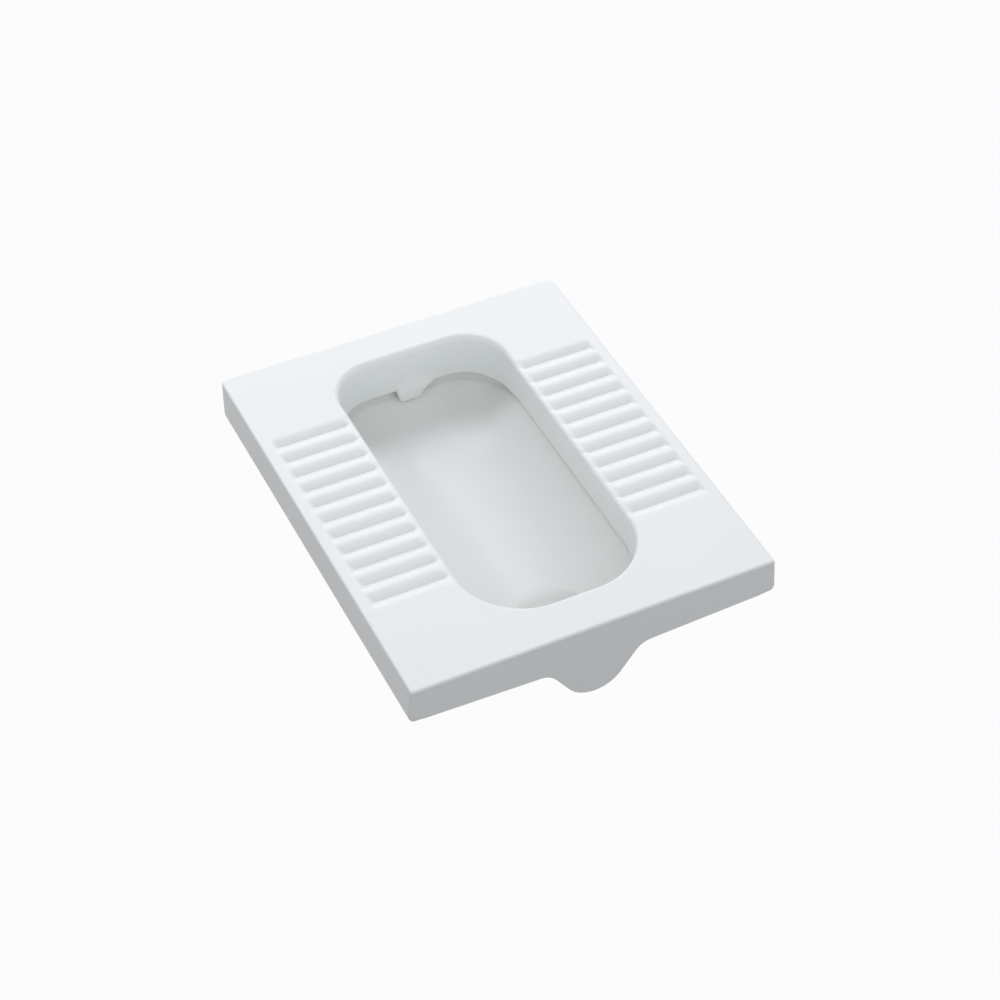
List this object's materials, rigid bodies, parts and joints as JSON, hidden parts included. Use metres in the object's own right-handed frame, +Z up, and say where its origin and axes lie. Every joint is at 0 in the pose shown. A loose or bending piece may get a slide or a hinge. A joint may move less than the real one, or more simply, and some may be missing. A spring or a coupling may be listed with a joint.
{
  "type": "squat toilet",
  "caption": "Floor-set squat toilet pan in glazed china, with ribbed foot treads, a flushing rim, a flush inlet at the back and an outlet horn under its front end.",
  "frame": {"origin": "the middle of the slab, in the plane of the apron's lower rim, on which the pan is bedded", "axes": "+Y from the front, where the lobe and the outlet are, to the back, where the flush inlet is; +Z up; +X to the right of a person who stands at the front and looks to the back"},
  "size_m": [0.5064, 0.628, 0.14],
  "materials": {
    "vitreous_china": "gloss white glaze",
    "epdm_rubber": "matte black moulded rubber"
  },
  "bodies": {
    "root": {"deck_slab": "vitreous_china", "flush_lip": "vitreous_china", "bowl": "vitreous_china", "inlet_socket": "vitreous_china", "inlet_seal": "epdm_rubber", "outlet_seal": "epdm_rubber"}
  },
  "joints": []
}
